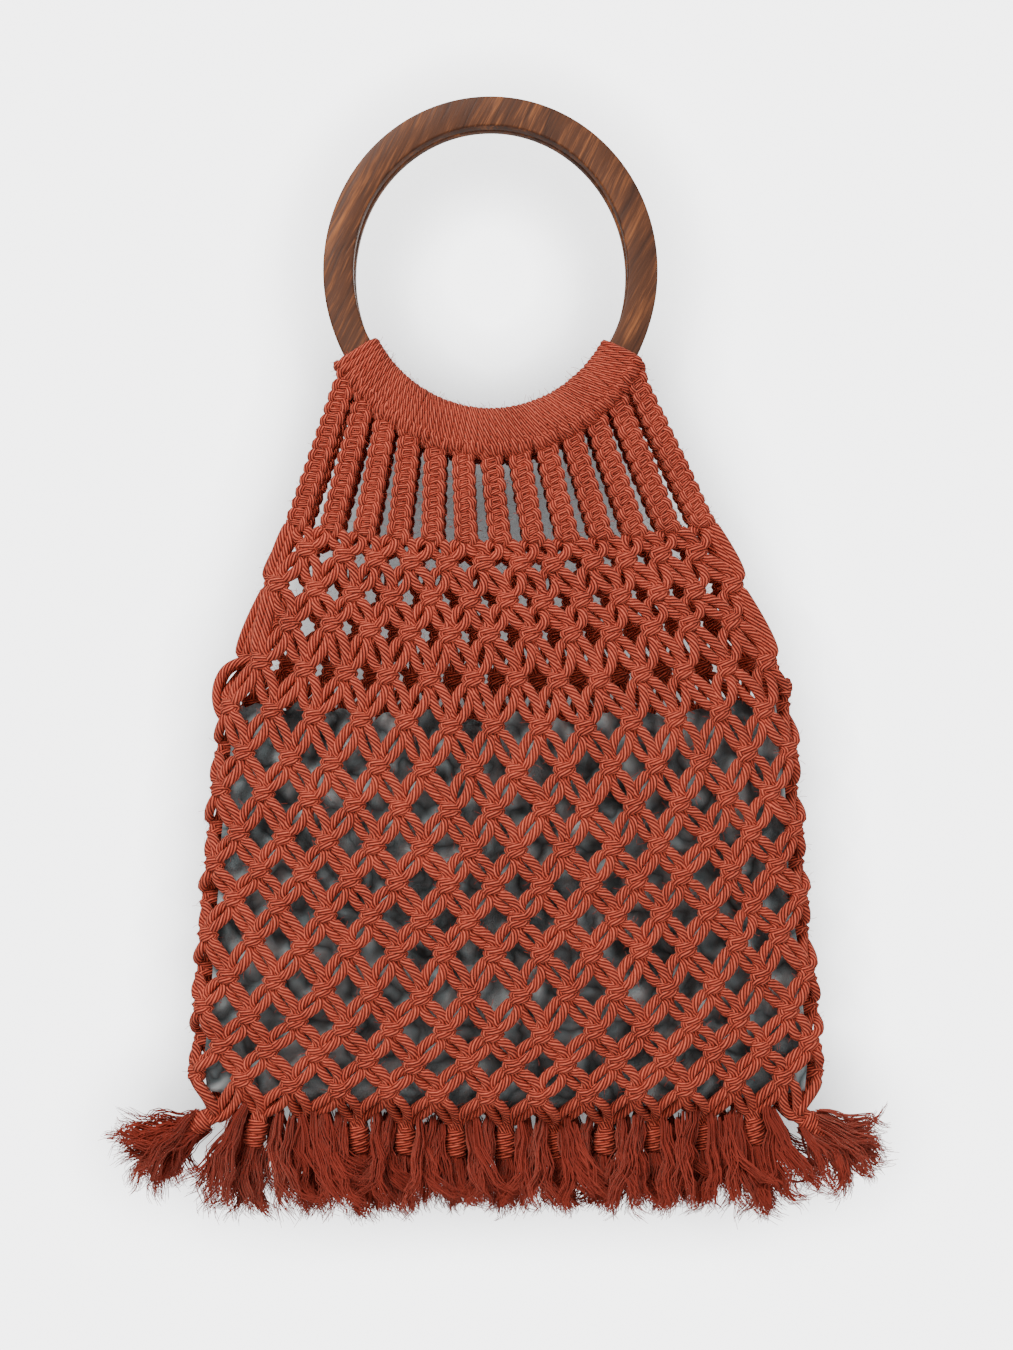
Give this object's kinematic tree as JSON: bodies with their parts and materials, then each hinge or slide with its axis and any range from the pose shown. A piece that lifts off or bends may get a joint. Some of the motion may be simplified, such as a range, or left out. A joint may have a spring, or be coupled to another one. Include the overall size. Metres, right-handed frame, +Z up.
{
  "type": "macrame bag",
  "caption": "Hanging bag of knotted rust-coloured cord on two round flat wooden ring handles, with a grey cloth pouch inside and a brushed-out fringe along its bottom.",
  "frame": {"origin": "where the bag hangs: the inner top of the two rings, halfway between them", "axes": "+Z up, -Y towards the front of the bag, +X to the right as seen from the front"},
  "size_m": [0.3484, 0.049, 0.515],
  "materials": {
    "stained_wood": "dark brown stain with a dull varnish",
    "rust_cord": "soft plied yarn with a little fuzz",
    "brushed_rust_cord": "brushed-out loose fibres",
    "grey_lining": "smooth woven cloth, slightly shiny"
  },
  "bodies": {
    "root": {"ring_front": "stained_wood", "ring_wrap_front": "rust_cord", "sinnet_front_01": "rust_cord", "sinnet_front_02": "rust_cord", "sinnet_front_03": "rust_cord", "sinnet_front_04": "rust_cord", "sinnet_front_05": "rust_cord", "sinnet_front_06": "rust_cord", "sinnet_front_07": "rust_cord", "sinnet_front_08": "rust_cord", "sinnet_front_09": "rust_cord", "sinnet_front_10": "rust_cord", "sinnet_front_11": "rust_cord", "sinnet_front_12": "rust_cord", "sinnet_front_13": "rust_cord", "net_front": "rust_cord", "lining_front": "grey_lining", "ring_back": "stained_wood", "ring_wrap_back": "rust_cord", "sinnet_back_01": "rust_cord", "sinnet_back_02": "rust_cord", "sinnet_back_03": "rust_cord", "sinnet_back_04": "rust_cord", "sinnet_back_05": "rust_cord", "sinnet_back_06": "rust_cord", "sinnet_back_07": "rust_cord", "sinnet_back_08": "rust_cord", "sinnet_back_09": "rust_cord", "sinnet_back_10": "rust_cord", "sinnet_back_11": "rust_cord", "sinnet_back_12": "rust_cord", "sinnet_back_13": "rust_cord", "net_back": "rust_cord", "lining_back": "grey_lining", "side_loop_left": "rust_cord", "side_knot_right": "rust_cord", "tassel_01": "brushed_rust_cord", "tassel_02": "brushed_rust_cord", "tassel_03": "brushed_rust_cord", "tassel_04": "brushed_rust_cord", "tassel_05": "brushed_rust_cord", "tassel_06": "brushed_rust_cord", "tassel_07": "brushed_rust_cord", "tassel_08": "brushed_rust_cord", "tassel_09": "brushed_rust_cord", "tassel_10": "brushed_rust_cord", "tassel_11": "brushed_rust_cord", "tassel_12": "brushed_rust_cord", "tassel_13": "brushed_rust_cord"}
  },
  "joints": []
}
